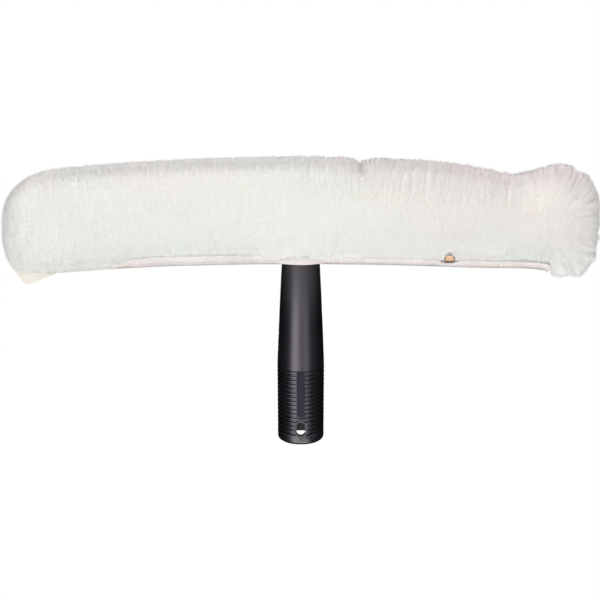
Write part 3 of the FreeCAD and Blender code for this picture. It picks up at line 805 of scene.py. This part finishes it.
# Pile: fine polyester fibres that stand out from the backing, drawn together in locks. Each strand
# stands for several fibres, because single fibres are too fine to show. They part on top near the
# handle, run up to the crest and out from the gathered end, and are clipped short round the hem.
proud, strand_radius, root_depth = 0.1, 0.24, 0.7
strands_per_mm2, seed = 4.0, 7
lock_width, lock_length, tuft, gather_spread, back_shift = 3.6, 13.0, 2.2, 34, 400
arc_steps = np.linalg.norm(np.roll(skin_points, -1, 1) - skin_points, axis=-1)
arc_places = np.concatenate([np.zeros((len(end_rows), 1)), np.cumsum(arc_steps, 1)], 1)


def closed(grid):
    return np.concatenate([grid, grid[:, :1]], 1)


def chance(a, b, seed):
    """A fixed number from 0 to 1 for each pair of whole numbers."""
    value = np.sin(a * 127.1 + b * 311.7 + seed * 74.7) * 43758.5453
    return value - np.floor(value)


def locks(a, b, wide, long, seed):
    """Way to the middle of the lock that holds each root, across and along it, and the lock's number."""
    column, row = np.floor(a / wide), np.floor(b / long)
    nearest = np.full(a.shape, np.inf)
    pull_a, pull_b, number = np.zeros_like(a), np.zeros_like(a), np.zeros_like(a)
    for i in (-1, 0, 1):
        for j in (-1, 0, 1):
            c, r = column + i, row + j
            to_a = (c + chance(c, r, seed)) * wide - a
            to_b = (r + chance(c, r, seed + 1)) * long - b
            distance = (to_a / wide)**2 + (to_b / long)**2
            closer = distance < nearest
            nearest = np.where(closer, distance, nearest)
            pull_a, pull_b = np.where(closer, to_a, pull_a), np.where(closer, to_b, pull_b)
            number = np.where(closer, chance(c, r, seed + 2), number)
    return pull_a, pull_b, number


def unit(vectors):
    return vectors / np.maximum(np.linalg.norm(vectors, axis=-1, keepdims=True), 1e-9)


def grow_roots(rng):
    """Roots spread evenly over the whole skin, with the local directions at each."""
    points, normals = closed(skin_points), closed(skin_normals)
    along, around = closed(skin_along), closed(skin_around)
    side_a, side_b = points[1:, :-1] - points[:-1, :-1], points[:-1, 1:] - points[:-1, :-1]
    areas = np.linalg.norm(np.cross(side_a, side_b), axis=-1).ravel()
    count = int(areas.sum() * strands_per_mm2)
    cells = np.searchsorted(np.cumsum(areas), rng.random(count) * areas.sum())
    i, j = np.divmod(np.clip(cells, 0, len(areas) - 1), len(body_turns))
    u, v = rng.random(count), rng.random(count)

    def between(grid):
        w = (slice(None), None) if grid.ndim == 3 else (slice(None),)
        return ((1 - u)[w] * (1 - v)[w] * grid[i, j] + u[w] * (1 - v)[w] * grid[i + 1, j]
                + (1 - u)[w] * v[w] * grid[i, j + 1] + u[w] * v[w] * grid[i + 1, j + 1])
    return (between(points), unit(between(normals)), unit(between(along)), unit(between(around)),
            between(arc_places), between(closed(skin_depth)))


rng = np.random.default_rng(seed)
roots, outward, along, around, arc, depth = grow_roots(rng)
count = len(roots)
x, y, z = roots.T
station = np.arctan2(x, z - head_height + bow_radius) * bow_radius
rise = np.hypot(x, z - head_height + bow_radius) - bow_radius

# Where the strands are: how far into the gathered end, the folded crest right of the handle, the neat
# crest left of it and the rim of the end, each from 0 to 1
gather = fade(station, 158, 176)
crest = fade(rise, 6, 30) * fade(station, -60, 60) * (1 - gather)
neat_crest = fade(rise, 24, 36) * (1 - fade(station, -60, 60))
from_gather = np.stack([x - gather_x, 0 * station, z - gather_z], -1)
reach = np.linalg.norm(from_gather, axis=-1)
swing = np.arctan2(from_gather[:, 2], from_gather[:, 0])
upward = np.array((0, 0, 1.0)) - outward[:, 2:] * outward
radial = unit(from_gather)
radial = radial - np.sum(radial * outward, -1, keepdims=True) * outward
rim = gather * fade(reach, 18, 42)

# How they are combed: out from the gathered end, up to the crest, away from the parting and the snap,
# and down over the tape
comb = radial * (0.85 * rim)[:, None]
comb += upward * (0.55 * crest)[:, None]
comb[:, 2] -= 0.10 * (1 - gather) * (1 - crest)
parting = np.exp(-((x - notch_x) / notch_width) ** 2) * fade(outward[:, 2], 0.2, 0.9)
comb[:, 0] += 0.25 * parting * np.sign(x - notch_x)
foot, axis = np.array(snap_foot) / MM, np.array(snap_axis)
to_snap = roots - foot
from_snap = to_snap - (to_snap @ axis)[:, None] * axis
off_axis = np.linalg.norm(from_snap, axis=-1)
by_snap = np.exp(-((off_axis - cap_radius) / 2.5) ** 2) * ((to_snap @ axis) > 0)
comb += unit(from_snap) * (0.25 * by_snap)[:, None]
tape_top = tape_reach(station, np.where(station < 0, left_tape_top, flap_tape_top)) * fade(station, -158, -122)
above_hem = rise + section_sizes(station)[1]
by_tape = (y < tape_back) & (station > -170) & (station < 193)
hang = np.exp(-((above_hem - tape_top - 0.5) / 2.6) ** 2) * by_tape * fade(station, -150, -120)
comb[:, 2] -= 0.75 * hang * (1 - by_snap)
comb += rng.normal(0, 0.14, (count, 1)) * along + rng.normal(0, 0.14, (count, 1)) * around

# How they are drawn together, and how long they are
in_gather = gather > 0.5
across_lock = np.where(in_gather[:, None], unit(np.cross(outward, radial)), along)
lock_a = np.where(in_gather, swing * gather_spread + back_shift * (y > 0), station)
lock_b = np.where(in_gather, reach, arc)
turned = np.where(in_gather & (np.sum(across_lock * from_gather[:, [2, 1, 0]] * (-1, 0, 1), -1) < 0), -1.0, 1.0)
across_lock = across_lock * turned[:, None]
long_a, _, long_number = locks(lock_a, lock_b, lock_width, lock_length, 11)
fine_a, fine_b, fine_number = locks(station, arc, tuft, tuft, 23)
stray = rng.random(count)
drawn = (0.08 + 0.55 * crest + 0.28 * neat_crest + 0.46 * rim) * (0.55 + 0.45 * stray)
drawn *= 1 - np.exp(-((station - 167) / 6.0) ** 2)
drawn *= np.where(in_gather, fade(math.pi - np.abs(swing), 0.05, 0.35), 1.0)
tight = 0.10 + 0.26 * stray
length = (depth + proud) * (0.90 + 0.20 * rng.random(count)) * (0.94 + 0.12 * fine_number)
length *= 1 + (long_number - 0.5) * (0.08 + 0.22 * crest + 0.12 * neat_crest + 0.20 * rim)
length *= 1 + 0.10 * crest
length *= (1 + 0.22 * hang) * (1 - 0.15 * by_snap)
length += 1.3 * fade(np.abs(station), 205, 226)
taped = ((station > -142) & (station < -16)) | ((station > 16) & (station < 192))
under = fade(-outward[:, 2], 0.55, 0.95) * fade(-y, -6, 0) * taped
length *= 1 - 0.62 * under
length *= 1 - 0.55 * np.exp(-(station / 28) ** 4) * fade(-outward[:, 2], 0.35, 0.85)
heads = unit(outward + comb)
tips = roots + heads * length[:, None]
tips += across_lock * (long_a * drawn)[:, None]
tips += (along * fine_a[:, None] + around * fine_b[:, None]) * (tight * (1 - drawn))[:, None]
lean = across_lock * (-long_a / lock_width * (drawn + 0.05) * 1.5)[:, None]
roots = roots - outward * root_depth
y = roots[:, 1]

# Which of them grow on the flap, and which places stay bare
in_flap_span = (station > flap_start) & (station < flap_end)
in_slit = in_flap_span & (((rise < hinge_rise) & (y < 0)) | ((rise < -bar_half_height) & (y < lip_back)))
on_flap = in_flap_span & (rise < hinge_rise) & (y < flap_edge - 0.2)
outside_lip = np.maximum.reduce([
    hinge_across + slant_near * math.sin(lip_slant) - y, -lip_floor - rise,
    -(y - hinge_across) * math.cos(lip_slant) - (rise - hinge_rise) * math.sin(lip_slant)])
roots = roots + heads * np.clip((flap_gap + 1.2 - outside_lip) * on_flap, 0, 0.8 * length)[:, None]
x, y, z = roots.T
at_neck = (np.hypot(x, y) < ring_outer - 1.0) & (outward[:, 2] < -0.6)
at_snap = (off_axis < dome_radius + 0.2) & ((to_snap @ axis) > 0)
at_tape = by_tape & (above_hem < tape_top - 0.5 * stray)
bare = at_neck | at_snap | at_tape

# Their tint, from cool to pink in soft patches, and their tone at root and tip, which is painted light and
# shade: roots darker in the depth of the pile and in the gaps of the locks at the crest and the gathered
# end, both lighter on the neat crest, and tips darkened just over the crest and in the parting's notch.
patch = (np.sin(x / 31 + 1.3) * np.sin(z / 17 + x / 57)
         + 0.6 * np.sin(x / 13.7 + z / 9.1) + 0.5 * np.sin(y / 8 + x / 41))
tint = (0.10 + 0.45 * fade(station, -10, 130) * fade(rise, -34, 16) + 0.32 * fade(np.abs(rise), 20, 38)
        + 0.15 * fade(-station, 195, 220))
tint = np.clip(tint + 0.10 * patch + 0.10 * (long_number - 0.5) + 0.06 * rng.normal(0, 1, count), 0.03, 0.97)
# Painted shade at the roots, deeper in the locks of the crest and the rim, with painted light on the neat crest
root_light_and_shade = 0.20 + 0.36 * (1 - np.maximum(crest, rim)) + 0.25 * neat_crest
# Tips just over the crest are darkened in dashes, as painted shade along the outline.
crest_rim_shade = fade(outward[:, 1], -0.05, 0.15) * (1 - fade(outward[:, 1], 0.45, 0.70)) * fade(outward[:, 2], 0.5, 0.8)
tip_light_and_shade = 0.70 + 0.05 * fade(rise, 24, 34) * (1 - fade(station, 40, 110))
tip_light_and_shade = tip_light_and_shade - (0.25 + 0.38 * (long_number < 0.5)) * crest_rim_shade
# The parting's notch is darkened as a painted shadow.
notch_shadow = np.exp(-((x - notch_x) / 1.4) ** 2) * fade(z, 211, 219)
tip_light_and_shade = np.clip(tip_light_and_shade - 0.85 * notch_shadow, 0.02, 0.98)

# Crimped polyester fibre: nearly white at the tip and greyer towards the root, where the grey is painted
# shade of the pile's depth, with a faint pink cast in places. Light passes through it, so a lock glows
# where it is lit from behind.
fibre = bpy.data.materials.new("crimped_polyester_fibre")
fibre.use_nodes = True
tree = fibre.node_tree
chart = add_node(tree, "ShaderNodeUVMap", {"uv_map": "OFBake"})
parts = add_node(tree, "ShaderNodeSeparateXYZ", links={"Vector": chart.outputs["UV"]})
casts = []
for root_shade_colour, low_colour, high_colour, tip_colour in (("#A8A8A5", "#D2D5D1", "#DADEDB", "#F2F5F2"),
                                                         ("#AC9F9E", "#D3C9C7", "#DCD3D2", "#F4EBEA")):
    casts.append(add_node(tree, "ShaderNodeValToRGB", links={"Fac": parts.outputs["Y"]}))
    stops = casts[-1].color_ramp.elements
    stops[0].color, stops[1].color = hex_colour(root_shade_colour), hex_colour(tip_colour)
    stops.new(0.7).color = hex_colour(high_colour)
    stops.new(0.4).color = hex_colour(low_colour)
tone = add_node(tree, "ShaderNodeMix", {"data_type": "RGBA"},
                links={0: parts.outputs["X"], 6: casts[0].outputs["Color"], 7: casts[1].outputs["Color"]})
shader = plug(tree, tree.nodes["Principled BSDF"], {"Roughness": 0.85, "Specular IOR Level": 0.25},
              {"Base Color": tone.outputs[2]})
through = add_node(tree, "ShaderNodeBsdfTranslucent", links={"Color": tone.outputs[2]})
both = add_node(tree, "ShaderNodeMixShader", inputs={0: 0.15},
                links={1: shader.outputs["BSDF"], 2: through.outputs["BSDF"]})
tree.links.new(both.outputs[0], tree.nodes["Material Output"].inputs["Surface"])


def pile_piece(name, chosen):
    """The chosen strands as thin three sided spikes, shaded towards the direction of the skin."""
    root, tip, out = roots[chosen], tips[chosen], unit(outward[chosen] + lean[chosen])
    number = len(root)
    head = unit(tip - root)
    side = unit(np.cross(head, np.where(np.abs(head[:, :1]) < 0.8, (1.0, 0, 0), (0, 1.0, 0))))
    other = np.cross(head, side)
    spread = chance(np.arange(number), 5.0, 31) * 2 * math.pi
    corners, normals = [], []
    for k in range(3):
        turn = spread + k * 2 * math.pi / 3
        ray = np.cos(turn)[:, None] * side + np.sin(turn)[:, None] * other
        corners.append(root + ray * strand_radius)
        normals.append(unit(0.78 * out + 0.22 * ray))
    corners.append(tip)
    normals.append(unit(0.75 * out + 0.25 * head))
    points = np.stack(corners, 1).reshape(-1, 3) * MM
    bends = np.stack(normals, 1).reshape(-1, 3)
    first = 4 * np.arange(number)[:, None]
    faces = (first + np.array((0, 1, 3, 1, 2, 3, 2, 0, 3))).ravel()
    mesh = bpy.data.meshes.new(name)
    mesh.vertices.add(4 * number)
    mesh.vertices.foreach_set("co", points.ravel())
    mesh.loops.add(9 * number)
    mesh.loops.foreach_set("vertex_index", faces)
    mesh.polygons.add(3 * number)
    mesh.polygons.foreach_set("loop_start", 3 * np.arange(3 * number))
    chart = mesh.uv_layers.new(name="OFBake")
    # The chart's height carries the painted light and shade of each strand's root and tip.
    foot = np.repeat(root_light_and_shade[chosen], 3)
    height = np.stack([foot, foot, np.repeat(tip_light_and_shade[chosen], 3)], -1).ravel()
    shift = np.tile((-0.01, 0.01, 0.0), 3 * number)
    chart.data.foreach_set("uv", np.stack([np.repeat(tint[chosen], 9) + shift, height], -1).ravel())
    mesh.update(calc_edges=True)
    mesh.polygons.foreach_set("use_smooth", np.ones(3 * number, bool))
    mesh.normals_split_custom_set_from_vertices(bends)
    mesh.materials.append(fibre)
    piece = bpy.data.objects.new(name, mesh)
    bpy.context.scene.collection.objects.link(piece)
    piece.visible_shadow = False
    return piece


in_front = outward[:, 1] < 0
for band, (low, high) in {"left": (-240, -98), "middle": (-98, 34), "right": (34, end_seam)}.items():
    in_band = (station >= low) & (station < high) & ~in_slit & ~bare
    for side_name, side_mask in (("front", in_front), ("back", ~in_front)):
        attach(pile_piece("pile_" + side_name + "_" + band, in_band & side_mask), "scrubber")
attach(pile_piece("pile_end_panel", (station >= end_seam) & ~bare), "scrubber")
flap_pile = pile_piece("pile_flap", on_flap & ~bare)
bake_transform(flap_pile)
